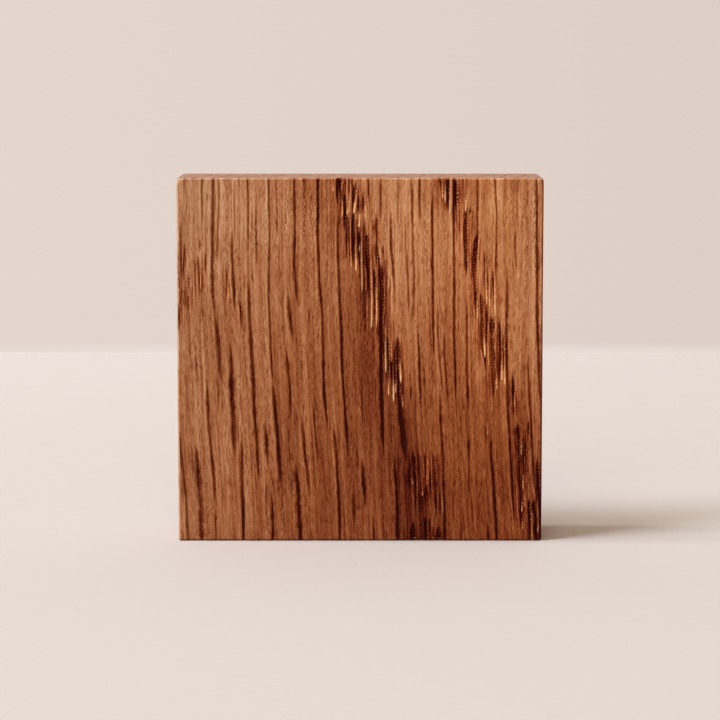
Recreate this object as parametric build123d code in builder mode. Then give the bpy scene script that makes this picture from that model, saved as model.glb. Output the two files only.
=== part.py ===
# Wood sample: one square block of open-grained oak, cut upright so that the
# grain runs from head to foot. The soft early wood of each growth ring has been
# worn out of the surface, which leaves furrows along the grain, and torn grain
# has left short deep pits in three bands.
#
# Frame: +Z up along the grain, -Y towards the show face, origin at the middle
# of the foot. Lengths in millimetres.

from build123d import *
import os

# Driving dimensions of the block
block_width = 100.0  # across the show face
block_thickness = 25.0  # from the show face to the back
block_height = 100.0  # along the grain
edge_radius = 0.6  # the long edges, along the grain, are rounded over
end_chamfer = 0.45  # the edges round the two ends are broken with a fine chamfer

# Sections of the worn grain
furrow_width = 0.9
furrow_depth = 0.55
vessel_row_width = 0.55
vessel_row_depth = 0.4
pit_width = 1.15
pit_depth = 0.8
slot_width = 0.6
slot_depth = 0.5
ring_mark_width = 0.4
ring_mark_depth = 0.25
cutter_stand_off = 0.1  # cutters start this far outside the face

# A cut runs out over this share of its length at each end
furrow_run_out = 0.25
pit_run_out = 0.4
back_run_out = 0.3
ring_mark_run_out = 0.1

# The growth rings and the run of the grain
ring_slant = 4.5  # a ring moves this far sideways from the show face to the back
ring_bow = 0.9  # and bows this far to the side half way
grain_run = 3.4  # the grain moves this far sideways on its way down to the foot
straight_above = 0.74  # share of the height above which the grain runs straight
mark_margin = 1.0  # ring marks on the ends stop this far short of the long edges
marks_per_ring = 3  # each ring shows on an end as this many short marks in a row
mark_overlap = 0.8

# Broken runs of the back, in hundredths of the height
over_the_end = 6.0  # runs that reach an end go this far over it
run_length = 30.0
run_overlap = 4.0
run_gap_step = 9.0  # the overlap turns into a gap that grows by this from ring to ring
first_run_step = 0.62  # share of a run by which the first ones are staggered

# The layouts below are in hundredths of a face, from its lower left corner:
# (across at the head, height of the head, across at the foot, height of the
# foot). A height over 100 or under 0 runs out over the end of the block.

# Wide furrows of the show face
furrows = [
    (10.4, 106, 9.8, 71), (9.7, 75, 11.9, 43), (15.2, 89, 15.8, 61), (14.4, 57, 15.8, 21),
    (17.6, 31, 18.0, -6), (19.4, 74, 20.9, 40), (20.7, 46, 22.3, 15), (24.0, 35, 24.9, 19),
    (26.3, 45, 28.0, 14), (25.4, 15, 26.4, -6), (29.8, 56, 31.2, 32), (30.2, 71, 32.0, 54),
    (32.3, 23, 34.1, -6), (42.7, 35, 44.2, 10), (44.1, 18, 44.4, -6), (7.8, 48, 9.3, 24),
    (9.1, 27, 10.2, 8), (5.2, 28, 6.5, -6), (38.6, 106, 38.7, 75), (38.7, 79, 40.0, 48),
    (40.0, 54, 41.2, 29), (44.7, 106, 44.7, 90), (44.0, 92, 44.5, 66), (44.4, 70, 45.4, 42),
    (45.2, 47, 46.9, 21), (55.8, 68, 55.7, 44), (55.7, 47, 56.6, 23), (58.3, 93, 58.6, 79),
    (58.5, 82, 59.5, 67), (59.2, 24, 60.5, -6), (60.6, 45, 60.9, 32), (69.7, 98, 69.9, 73),
    (69.8, 77, 70.3, 49), (71.8, 44, 72.7, 24), (72.5, 27, 73.3, -6), (75.5, 106, 75.8, 72),
    (75.8, 76, 76.3, 37), (85.8, 32, 87.0, 12), (86.9, 14, 88.2, -6), (90.0, 77, 90.1, 50),
    (90.1, 54, 91.3, 24), (91.2, 27, 92.6, 4), (97.9, 106, 98.3, 72), (98.2, 76, 99.6, 36),
]

# Fine rows of open vessels between them
vessel_rows = [
    (1.3, 92, 1.1, 76), (7.1, 106, 7.2, 85), (11.6, 106, 11.2, 74), (19.5, 106, 19.6, 80),
    (25.0, 106, 25.3, 80), (25.4, 84, 25.3, 62), (25.3, 66, 26.4, 40), (21.7, 90, 21.8, 71),
    (32.1, 106, 32.2, 75), (32.1, 79, 33.3, 63), (34.2, 36, 36.5, 9), (37.0, 41, 38.6, 18),
    (0.7, 32, 1.6, 17), (1.5, 19, 2.9, -6), (50.6, 25, 51.7, 7), (52.2, 106, 52.7, 89),
    (55.8, 106, 55.6, 86), (64.3, 86, 64.7, 58), (65.9, 60, 66.8, 34), (66.2, 106, 66.2, 85),
    (71.1, 67, 73.0, 37), (79.1, 69, 79.8, 33), (81.9, 106, 81.9, 76), (86.6, 106, 87.0, 69),
    (92.0, 89, 92.7, 72), (95.9, 52, 97.8, 16), (85.0, 7, 85.8, -6),
]

# Pits of torn grain: a band that falls from the head past the middle, one down
# the right side, and a short one over the foot
torn_pits = [
    (44.6, 104, 44.6, 93), (45.9, 96, 46.0, 85), (48.9, 99, 48.0, 91), (48.2, 90.5, 48.1, 80),
    (49.7, 86, 50.0, 73), (51.9, 85, 52.2, 68), (54.5, 83, 54.4, 75), (53.9, 76, 54.0, 62),
    (55.4, 78, 56.2, 61), (58.7, 50, 58.7, 44), (60.4, 57, 60.6, 44), (60.7, 38, 62.5, 20),
    (71.9, 104, 71.9, 95), (73.9, 103, 74.1, 90), (76.3, 99, 76.1, 90), (79.1, 92, 78.5, 84),
    (78.6, 87, 79.2, 73), (81.7, 84, 80.9, 77), (81.0, 80, 81.8, 61), (83.1, 69, 83.2, 56),
    (83.4, 59, 84.8, 47), (86.1, 62, 86.1, 55), (86.2, 57, 86.6, 40), (88.1, 61, 88.3, 44),
    (91.8, 46, 92.4, 34), (64.4, 25, 65.5, 8), (68.1, 15, 68.1, 9), (68.1, 7, 68.1, -2),
    (70.1, 25, 71.1, 6), (93.4, 33, 94.0, 12), (94.9, 26, 94.7, 11), (96.6, 12, 96.9, 1),
    (98.0, 11, 98.4, -4),
]

# Narrow slots between and beside the pits, and some by the left edge
torn_slots = [
    (42.0, 102, 42.1, 97), (46.3, 103, 46.4, 95), (47.0, 90, 47.0, 77), (49.6, 96, 49.3, 90),
    (51.0, 96, 50.9, 90), (51.0, 89, 51.3, 76), (51.4, 75, 51.6, 60), (54.6, 90, 54.7, 82),
    (56.3, 82, 57.0, 74), (57.2, 75, 57.8, 58), (57.5, 57, 57.8, 44), (59.7, 55, 59.8, 41),
    (76.4, 90, 76.8, 82), (78.1, 103, 78.1, 94), (80.1, 92, 79.9, 89), (83.7, 80, 84.0, 70),
    (84.9, 76, 84.9, 66), (86.4, 75, 86.5, 65), (84.6, 65, 84.7, 54), (89.3, 58, 89.3, 46),
    (63.6, 22, 63.8, 13), (66.3, 25, 66.3, 13), (67.9, 25, 68.1, 15), (69.3, 20, 69.4, 11),
    (72.1, 17, 72.2, 8), (96.2, 34, 96.2, 27), (95.6, 31, 95.7, 17), (2.3, 83, 1.9, 71),
    (3.3, 74, 3.2, 62), (4.4, 71, 4.4, 63), (6.0, 79, 6.1, 69), (6.9, 75, 7.0, 67),
    (8.0, 80, 7.9, 70),
]

# The narrow sides lie along the rings, so they show only a few long lines
left_side_lines = [
    (22, 106, 30, 66), (27, 70, 40, 18), (58, 88, 66, 40), (64, 44, 76, -6), (88, 52, 93, 20),
]
right_side_lines = [
    (16, 96, 20, 58), (19, 62, 30, 10), (46, 106, 50, 60), (50, 64, 61, 22), (78, 40, 84, -6),
]

# Where the growth rings cross the head of the show face, in hundredths
rings = [
    4.6, 10.4, 15.2, 19.5, 25.0, 32.1, 38.6, 44.7, 53.0, 58.3, 64.0, 69.7, 75.5, 81.9, 86.6, 92.0, 97.9,
]


def grain_shift(height):
    # sideways run of the grain at a share of the height, counted from the head
    return grain_run * max(0.0, straight_above - height) / straight_above


def on_face(layout, face_width):
    # a layout in hundredths as runs in millimetres from the middle of the foot
    return [
        (
            ((head_across / 100 - 0.5) * face_width, head / 100 * block_height),
            ((foot_across / 100 - 0.5) * face_width, foot / 100 * block_height),
        )
        for head_across, head, foot_across, foot in layout
    ]


def back_layout():
    # each ring comes out on the back in broken runs, with the breaks staggered
    layout = []
    slant = ring_slant / block_width * 100
    for number, ring in enumerate(rings):
        head = 100 + over_the_end - run_length * (number * first_run_step % 1)
        while head > run_length / 2:
            foot = head - run_length
            head_shift, foot_shift = [grain_shift(end / 100) / block_width * 100 for end in (head, foot)]
            layout.append((100 - ring - slant - head_shift, head, 100 - ring - slant - foot_shift, foot))
            head = foot + run_overlap - run_gap_step * (number % 3)
    return [run for run in layout if run[2] > 1]


def end_runs(height, front):
    # ring marks across an end: front is 1 or -1, the way to the show face on
    # that end's plane
    reach = block_thickness / 2 - mark_margin
    runs = []
    for ring in rings:
        across = (ring / 100 - 0.5) * block_width + grain_shift(height)
        if across + ring_slant > block_width / 2 - edge_radius:
            continue
        points = []
        for step in range(marks_per_ring + 1):
            share = step / marks_per_ring
            sideways = ring_slant * share + 4 * ring_bow * share * (1 - share)
            points.append(Vector(across + sideways, front * reach * (1 - 2 * share)))
        for near, far in zip(points, points[1:]):
            overlap = (far - near).normalized() * (mark_overlap / 2)
            runs.append((near - overlap, far + overlap))
    return runs


def grain_cutter(face, start, end, width, depth, run_out):
    # a V cut along one run, at full width in the middle and run out at both ends
    head, foot = Vector(start), Vector(end)
    run = foot - head
    brim_half = width / 2 * (1 + cutter_stand_off / depth)
    side = Vector(-run.Y, run.X).normalized() * brim_half
    near, far = head + run * run_out, foot - run * run_out
    brim = [head, near + side, near - side, foot, far + side, far - side]
    points = [point + Vector(0, 0, cutter_stand_off) for point in brim]
    points += [point - Vector(0, 0, depth) for point in (near, far)]
    return ConvexPolyhedron([face.from_local_coords(point) for point in points], mode=Mode.PRIVATE)


def grain_cutters(face, runs, width, depth, run_out):
    return [grain_cutter(face, start, end, width, depth, run_out) for start, end in runs]


half_width = block_width / 2
half_thickness = block_thickness / 2
show_face = Plane(origin=(0, -half_thickness, 0), x_dir=(1, 0, 0), z_dir=(0, -1, 0))
back_face = Plane(origin=(0, half_thickness, 0), x_dir=(-1, 0, 0), z_dir=(0, 1, 0))
left_side = Plane(origin=(-half_width, 0, 0), x_dir=(0, -1, 0), z_dir=(-1, 0, 0))
right_side = Plane(origin=(half_width, 0, 0), x_dir=(0, 1, 0), z_dir=(1, 0, 0))
head_end = Plane(origin=(0, 0, block_height), x_dir=(1, 0, 0), z_dir=(0, 0, 1))
foot_end = Plane(origin=(0, 0, 0), x_dir=(1, 0, 0), z_dir=(0, 0, -1))

show_face_cuts = (
    (furrows, furrow_width, furrow_depth, furrow_run_out),
    (vessel_rows, vessel_row_width, vessel_row_depth, furrow_run_out),
    (torn_pits, pit_width, pit_depth, pit_run_out),
    (torn_slots, slot_width, slot_depth, pit_run_out),
)
worn_grain = []
for layout, width, depth, run_out in show_face_cuts:
    worn_grain += grain_cutters(show_face, on_face(layout, block_width), width, depth, run_out)
back_runs = on_face(back_layout(), block_width)
worn_grain += grain_cutters(back_face, back_runs, furrow_width, furrow_depth, back_run_out)
for side_face, lines in ((left_side, left_side_lines), (right_side, right_side_lines)):
    side_runs = on_face(lines, block_thickness)
    worn_grain += grain_cutters(side_face, side_runs, vessel_row_width, vessel_row_depth, back_run_out)
for end_face, height, front in ((head_end, 1, -1), (foot_end, 0, 1)):
    marks = end_runs(height, front)
    worn_grain += grain_cutters(end_face, marks, ring_mark_width, ring_mark_depth, ring_mark_run_out)

with BuildPart() as wood_block:
    Box(block_width, block_thickness, block_height, align=(Align.CENTER, Align.CENTER, Align.MIN))
    fillet(wood_block.edges().filter_by(Axis.Z), radius=edge_radius)
    ends = wood_block.faces().filter_by(Axis.Z)
    chamfer(ends.edges(), length=end_chamfer)
    add(worn_grain, mode=Mode.SUBTRACT)

wood_block.part.label = "wood_block"
os.makedirs("parts", exist_ok=True)
export_step(wood_block.part, "parts/wood_block.step")
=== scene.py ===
import math

import bpy
import numpy as np
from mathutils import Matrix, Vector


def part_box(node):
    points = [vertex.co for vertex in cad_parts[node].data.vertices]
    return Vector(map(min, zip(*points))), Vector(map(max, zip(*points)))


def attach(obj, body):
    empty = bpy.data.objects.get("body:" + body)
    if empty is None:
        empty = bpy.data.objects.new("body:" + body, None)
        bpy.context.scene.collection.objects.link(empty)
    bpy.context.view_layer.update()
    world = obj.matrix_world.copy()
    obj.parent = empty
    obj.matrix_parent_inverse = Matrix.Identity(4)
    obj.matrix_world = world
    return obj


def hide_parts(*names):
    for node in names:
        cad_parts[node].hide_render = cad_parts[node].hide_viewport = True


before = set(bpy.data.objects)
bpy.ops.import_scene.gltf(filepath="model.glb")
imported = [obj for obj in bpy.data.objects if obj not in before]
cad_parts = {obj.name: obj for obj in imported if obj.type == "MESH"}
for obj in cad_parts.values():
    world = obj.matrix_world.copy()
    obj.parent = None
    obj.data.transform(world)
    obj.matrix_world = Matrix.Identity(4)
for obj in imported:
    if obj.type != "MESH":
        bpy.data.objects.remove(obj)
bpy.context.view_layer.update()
print("frame loaded:", list(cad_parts))

# Lengths in this script are millimetres, as a joiner would give them. The mesh
# is turned into metres when it is made.
millimetre = 0.001
blockLow = np.array(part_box("wood_block")[0]) / millimetre
blockHigh = np.array(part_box("wood_block")[1]) / millimetre
blockWidth, blockThickness, blockHeight = blockHigh - blockLow

block = {
    "edgeRadius": 0.6,  # worn edges
    "cornerWear": 0.35,  # the corners of the head are rounder by this much
    "cornerReach": 1.6,
    "frontColumns": 488,  # cells across the show face, the back has half as many
    "edgeColumns": 12,
    "rows": 96,  # cells along the grain
    "edgeRows": 4,
    "sideColumns": 18,
    "furrowDepth": 0.55,  # of a furrow one millimetre wide
    "furrowSection": ((0.93, 1.2), (0.07, 0.25)),  # share and steepness of its core and its skirt
    "pitDepth": 0.75,
    "sliverRise": 0.2,  # how far a pale sliver stands up in its slot
    "waviness": 0.07,  # how far the face between the furrows stands back
    "ringSlant": 4.5,  # sideways run of a ring from the show face to the back
    "ringBow": 0.9,  # and its bow to the side half way
    "ringMarkWidth": 0.28,
    "ringMarkDepth": 0.12,
    "endRoughness": 0.03,
    "endSlope": 0.72,  # what looks up or down by more than this has end grain
    "paintedRim": (2.1, 0.8),  # place and reach of the painted highlight along a furrow's left edge, in half widths
    "roughReach": 0.9,  # how far the wood is rough beyond a slot, further by a wide one
    "furrowRunOut": 8.0,  # how far a line takes to thin out at its ends
    "tickRunOut": 4.0,
    "slotRunOut": (1.6, 7.0),  # a slot is blunt at the head and pointed at the foot
    "sliverTip": 2.5,
    "faceFineLines": 240,  # faint short furrows on the show face
    "backFineLines": 200,
    "sideFineLines": 40,
    "sideLine": (0.55, 0.6),  # width and darkness of the long lines of the sides
}


def drawnLines(rows):
    # a line is its width, its strength and its points from head to foot
    return [(width, strength, list(zip(run[::2], run[1::2]))) for width, strength, *run in rows]


# Furrows of the show face: width, darkness, then the across and height of each
# point from head to foot, measured from the face's lower left corner
furrowLines = drawnLines([
    (0.5, 0.6, 0.5, 65, 0.5, 57), (0.6, 0.55, 0.5, 32, 0.9, 25, 1.5, 18, 1.9, 14, 2.5, 7, 2.9, -6),
    (0.35, 0.5, 0.7, 17, 1.4, 9), (0.3, 0.3, 1.9, 29, 2.2, 19), (0.3, 0.4, 2.9, 28, 3.1, 19),
    (0.3, 0.4, 3.9, 28, 4.1, 16), (0.45, 0.5, 1.4, 91, 1.2, 80, 1.2, 72),
    (0.45, 0.5, 2.4, 83, 2, 76, 1.8, 71), (0.4, 0.4, 2.3, 106, 2.4, 94),
    (1.6, 0.72, 5.1, 29, 5.6, 20, 5.9, 16, 6.2, 12, 6.4, 6, 6.6, -6),
    (0.45, 0.5, 7.1, 106, 7.1, 93, 7.2, 85),
    (0.75, 0.8, 7.7, 48, 8.2, 39, 8.8, 29, 9.2, 25, 9.9, 18, 10.2, 8), (0.4, 0.5, 10.1, 12, 10.4, -6),
    (0.85, 0.68, 10.4, 106, 10, 90, 9.8, 80, 9.7, 73, 10, 66, 10.7, 61),
    (1.15, 0.75, 10.3, 65, 11.2, 55, 11.5, 50, 12, 42),
    (0.5, 0.65, 11.6, 106, 11.6, 95, 11.3, 84, 11.2, 74), (0.35, 0.4, 11.1, 46, 11.2, 34),
    (0.35, 0.3, 14.2, 77, 13.6, 73, 13.6, 65),
    (1.35, 0.78, 14.4, 57, 14.7, 53, 14.9, 46, 15, 41, 15.4, 34, 15.5, 28, 15.8, 21),
    (0.85, 1, 15.3, 89, 15.2, 80, 15.4, 74, 15.7, 66, 15.8, 61), (0.35, 0.35, 16.8, 70, 17.4, 63, 18.4, 56),
    (0.3, 0.3, 17.2, 43, 17.5, 34), (0.9, 0.7, 17.6, 31, 17.6, 20, 17.8, 12, 18, -6),
    (0.5, 0.7, 19.5, 106, 19.6, 88, 19.6, 80),
    (0.95, 0.65, 19.4, 74, 19.7, 66, 20.1, 57, 20.6, 48, 20.8, 43, 21.2, 34, 21.7, 28, 22.3, 15),
    (0.65, 0.5, 21.7, 96, 21.7, 89, 21.8, 80, 21.8, 71), (0.3, 0.15, 20.3, 29, 20.6, 16),
    (1, 0.93, 24, 35, 24.2, 27, 24.5, 23, 24.9, 19), (0.5, 0.4, 24.3, 19, 24.4, 7),
    (0.55, 0.75, 25, 106, 25.4, 88, 25.4, 83, 25, 70, 25.3, 64, 25.6, 54, 26.2, 42),
    (1, 0.75, 26, 46, 26.5, 38, 27, 34, 27.5, 27, 27.9, 23, 28.1, 13),
    (0.8, 0.7, 25.4, 15, 25.9, 8, 26.3, -6), (0.35, 0.3, 27.4, 104, 27.4, 79),
    (0.9, 0.8, 29.7, 56, 30.4, 48, 30.7, 44, 31, 36, 31.2, 32),
    (1.15, 0.8, 30.1, 71, 30.6, 65, 31, 62, 31.5, 57, 32, 54),
    (0.6, 0.7, 32.1, 106, 32.3, 88, 32.1, 77, 32.5, 70, 33.4, 63),
    (1.3, 0.68, 32.3, 23, 32.7, 18, 33.2, 10, 34, -6), (0.3, 0.5, 34.7, 106, 34.8, 95),
    (0.8, 0.7, 34.1, 36, 34.6, 28, 35, 24, 35.8, 17, 36.6, 9), (0.4, 0.5, 36.2, 65, 35.9, 59),
    (0.5, 0.7, 37, 41, 37.5, 33, 38, 27, 38.7, 18),
    (0.65, 0.85, 38.6, 106, 38.6, 88, 38.7, 77, 39.4, 67, 39.8, 61, 40, 54, 40.1, 41, 41.3, 29),
    (0.8, 0.85, 42.6, 35, 43.2, 28, 43.6, 24, 44, 16, 44.4, 8, 44.4, -6),
    (0.65, 0.78, 44, 92, 44.1, 75, 44.5, 67, 44.9, 61, 45.1, 50, 45.3, 43, 46, 34, 47, 21),
    (0.5, 0.7, 43.9, 106, 43.9, 90), (1.3, 0.35, 48.3, 17, 48.5, 2),
    (1.1, 0.85, 50.5, 25, 51, 17, 51.2, 13, 51.8, 7), (0.55, 0.9, 53.6, 9, 53.9, -6),
    (0.4, 1, 52.2, 106, 52.3, 94, 52.8, 89), (0.4, 0.6, 55.8, 106, 55.6, 86),
    (1.1, 0.95, 55.8, 68, 55.7, 57, 55.7, 47, 56, 38, 56.1, 32, 56.5, 25, 56.7, 22),
    (0.7, 0.95, 58.3, 93, 58.3, 87, 58.5, 82, 58.8, 77, 59.6, 67),
    (0.9, 0.95, 59.1, 25, 59.6, 20, 59.9, 16, 60.3, 8, 60.6, -6),
    (1.5, 0.72, 60.5, 46, 60.8, 37, 61.7, 30, 62.2, 26, 62.8, 20),
    (0.5, 0.6, 61.8, 86, 62.6, 82, 63, 75, 63.3, 66, 63.3, 60), (0.35, 0.4, 63.9, 45, 63.9, 37),
    (0.6, 0.45, 64, 102, 64.3, 88, 64.8, 70, 64.6, 58), (0.5, 0.65, 65.8, 60, 66.1, 54, 66.4, 45, 66.9, 34),
    (0.45, 0.9, 66.2, 106, 66.3, 93, 66.2, 85), (0.3, 0.5, 69, 66, 69.5, 49),
    (0.6, 0.8, 69.7, 99, 69.7, 88, 69.8, 76, 70, 65, 70.1, 57, 70.3, 49),
    (0.35, 0.52, 71.1, 67, 71.5, 55, 72.2, 46, 73.1, 37), (0.5, 0.4, 72.9, 61, 73.1, 51, 74.4, 35),
    (0.65, 0.75, 71.8, 44, 72.2, 34, 72.6, 26, 73.1, 18, 72.9, 14, 73.4, 8, 73.2, -6),
    (0.6, 0.8, 75.5, 106, 75.5, 86, 75.9, 73, 75.7, 65, 75.8, 54, 76.1, 45, 76.4, 37),
    (0.3, 0.4, 75.5, 17, 75.8, 3), (0.6, 0.85, 79.1, 69, 79.2, 55, 79.4, 46, 79.8, 33),
    (0.5, 0.45, 79.8, 33, 80, 9), (0.45, 0.65, 81.9, 106, 82, 86, 81.9, 76), (0.6, 0.7, 84.9, 8, 85.7, -6),
    (0.65, 0.75, 85.7, 32, 86.2, 23, 86.5, 18, 87.1, 10, 88.2, -6),
    (0.5, 0.8, 86.4, 106, 86.8, 96, 87.2, 92, 87.3, 87, 87, 77, 87, 69),
    (0.55, 0.75, 90, 77, 90.2, 67, 90.1, 55, 90.2, 46, 90.7, 34, 91.2, 26, 91.9, 16, 92.6, 4),
    (0.4, 0.68, 92, 89, 92.4, 77, 92.8, 72), (0.6, 0.8, 95.8, 52, 96.3, 43, 96.9, 33, 97.3, 25, 98.1, 16),
    (0.75, 0.8, 97.8, 106, 98.2, 86, 98.3, 74, 98.4, 60, 98.8, 52, 99.3, 42, 99.7, 36),
])

# Slots of torn grain, in the same form: the band that falls from the head past
# the middle, the band down the right side, the one over the foot, the lower
# right corner, and the left edge
tornPits = drawnLines([
    (0.5, 0.75, 42, 101, 42.1, 97.4), (0.6, 0.85, 43.9, 104, 43.9, 90.5), (0.9, 1, 44.7, 104, 44.6, 92.5),
    (0.45, 0.85, 44.9, 97, 44.9, 90), (0.5, 0.8, 46.1, 103, 46.1, 95),
    (1.05, 1, 45.8, 95.4, 45.8, 90, 45.9, 85), (0.45, 0.8, 46.4, 90, 46.4, 77),
    (0.5, 0.8, 47.1, 90, 47.1, 77), (0.5, 0.75, 47.1, 103, 47.1, 92), (0.55, 0.9, 47.9, 103, 47.9, 96.5),
    (1.15, 1, 48.9, 99, 48.5, 96, 47.9, 91), (0.65, 0.9, 49.5, 95.8, 49.7, 93, 49.4, 89.5),
    (0.6, 0.95, 50.9, 95.8, 50.8, 90), (1.15, 1, 48.3, 90.4, 48.2, 86, 48.1, 76),
    (1, 1, 49.7, 85.6, 49.8, 79, 49.9, 74.5), (0.5, 0.85, 49.9, 79, 50.1, 70.5),
    (0.5, 0.8, 51.1, 88.5, 51.2, 75, 51.4, 61), (1.3, 1, 51.9, 84.9, 51.9, 79, 52.1, 72.5),
    (0.55, 0.85, 52.2, 76, 52.3, 66), (0.4, 0.65, 51.7, 70, 51.7, 57), (0.75, 0.75, 54.5, 89.6, 54.6, 81.6),
    (1, 0.85, 54.6, 82.4, 54.5, 75.6), (0.6, 0.75, 56.3, 82, 56.4, 77.6),
    (0.4, 0.7, 56.4, 79.5, 57, 74, 57.5, 66, 57.7, 57), (0.9, 1, 53.9, 75.4, 53.9, 65),
    (0.55, 0.85, 53.9, 69, 54.1, 59.5), (0.5, 0.9, 55, 80.5, 55.5, 74),
    (1.25, 1, 55.6, 76.5, 56, 71, 56.2, 62), (0.9, 1, 55.9, 68, 55.7, 60, 55.7, 48),
    (0.4, 0.75, 57.9, 70, 57.9, 55), (0.4, 0.5, 58.3, 73, 58.4, 62),
    (0.8, 0.75, 57.6, 57, 57.7, 50, 57.8, 44), (0.65, 0.95, 58.7, 50.2, 58.7, 44.5),
    (0.7, 0.9, 59.7, 54.4, 59.7, 47, 59.8, 41), (0.8, 1, 60.4, 56.6, 60.5, 47, 60.8, 38),
    (0.35, 0.6, 63.6, 48, 63.9, 43), (0.9, 0.85, 71.9, 104, 71.9, 95.5),
    (1, 1, 73.9, 103, 73.9, 94, 74.1, 90.6), (1.15, 1, 76.1, 99.5, 76.2, 95, 76.1, 90.6),
    (0.4, 0.75, 76.3, 94, 76.7, 82), (0.4, 0.6, 77.1, 92, 77.2, 83), (0.5, 0.8, 78.1, 103, 78.1, 95),
    (0.4, 0.65, 78.3, 97, 78.3, 91.5), (1.2, 1, 79.1, 92.4, 78.7, 89, 78.6, 85, 78.9, 79, 79.2, 73),
    (0.7, 0.85, 80.1, 92.3, 79.9, 89.6), (0.5, 0.85, 82, 85, 82.1, 76),
    (0.95, 0.95, 81.7, 84, 80.8, 79, 81, 75, 81.3, 71, 81.5, 66, 81.8, 61.5),
    (1.1, 0.85, 81.5, 81.5, 81.5, 73), (0.5, 0.75, 83.7, 80.2, 83.8, 75), (0.35, 0.6, 84, 77, 84.1, 69),
    (0.35, 0.6, 84.9, 76, 84.9, 66), (0.7, 0.65, 86.4, 75, 86.5, 65), (0.35, 0.6, 88.7, 68, 88.7, 65),
    (1, 1, 83.1, 68.6, 83.3, 63, 83.2, 57, 83.8, 52, 84.6, 47), (0.8, 0.8, 84.6, 64, 84.6, 58, 84.6, 53),
    (0.4, 0.75, 84.6, 57, 84.8, 46), (1.5, 1, 86.1, 61.7, 86.1, 56.2), (0.9, 0.75, 86.1, 58, 86.2, 50),
    (1.4, 0.5, 86.4, 52.5, 86.7, 39), (0.8, 1, 88.1, 61, 88.2, 57.5), (0.65, 0.85, 88.2, 60, 88.3, 43),
    (0.7, 0.6, 89.3, 58, 89.3, 46), (0.9, 0.9, 91.8, 46, 92.1, 38, 92.4, 34),
    (0.9, 1, 64.4, 25.4, 64.9, 22, 65.1, 17, 65.5, 8), (0.7, 0.85, 63.6, 22, 63.8, 14),
    (0.35, 0.75, 66.1, 24.6, 66.1, 13), (0.5, 0.8, 67.9, 24.5, 68.1, 14),
    (0.65, 0.85, 69.3, 20.3, 69.4, 11), (0.75, 0.9, 68.1, 15, 68.1, 10), (0.95, 1, 68.1, 7, 68.1, -2),
    (0.55, 0.9, 70.1, 25, 70.6, 20, 71, 14, 71.1, 6), (0.35, 0.75, 66.4, 15, 66.4, 7),
    (0.35, 0.75, 67, 15, 67, 9), (0.4, 0.8, 72.1, 17, 72.2, 8), (1.4, 0.75, 64.7, 5, 64.8, -4),
    (1.5, 0.7, 71.6, 4, 71.6, -4), (0.4, 0.7, 92.5, 41, 92.6, 36), (0.85, 0.9, 93.3, 32.6, 93.4, 28),
    (0.6, 0.85, 93.5, 31, 93.8, 22, 94, 15, 94.5, 3), (0.55, 0.9, 94.9, 25.5, 94.9, 18),
    (0.45, 0.8, 95.4, 31, 95.5, 17), (0.5, 0.8, 94.6, 19, 94.5, 11), (0.55, 0.8, 96.2, 34, 96.2, 27.5),
    (1, 1, 96.6, 11.6, 96.7, 7, 96.9, 1), (0.9, 0.85, 97.4, 11, 97.8, 7.5),
    (0.8, 1, 98, 11, 98.3, 5, 98.5, -4), (0.85, 0.95, 98.8, 23, 98.9, 17, 99.2, 11),
    (0.6, 0.9, 99.1, 15, 99.4, 8, 99.6, -4), (0.5, 0.75, 0.6, 66, 0.6, 58), (0.45, 0.7, 1.3, 81, 1.2, 68),
    (0.45, 0.75, 2.2, 82.5, 1.9, 77, 1.8, 71), (0.35, 0.6, 1.3, 71, 1.2, 62),
    (0.35, 0.6, 2.3, 71, 2.3, 63.5), (0.35, 0.65, 1.7, 65, 1.8, 59.5), (0.6, 0.75, 3.3, 73.6, 3.4, 69),
    (0.35, 0.6, 3.2, 69, 3.1, 62.5), (0.4, 0.65, 4.3, 71, 4.3, 64), (0.35, 0.55, 5.2, 79, 5.2, 66),
    (0.4, 0.65, 6.1, 79, 6.2, 69), (0.55, 0.65, 6.4, 83.6, 6.4, 79.7), (0.5, 0.7, 6.9, 74.5, 7, 68),
    (0.55, 0.6, 6.9, 86.6, 6.9, 85), (0.5, 0.75, 8, 80, 7.9, 70.5), (0.4, 0.5, 8.6, 87, 8.6, 84),
    (0.35, 0.5, 8.8, 81, 8.8, 75), (0.35, 0.55, 13.6, 76.5, 13.6, 64), (0.4, 0.55, 17.3, 67, 17.6, 57),
])
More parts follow.
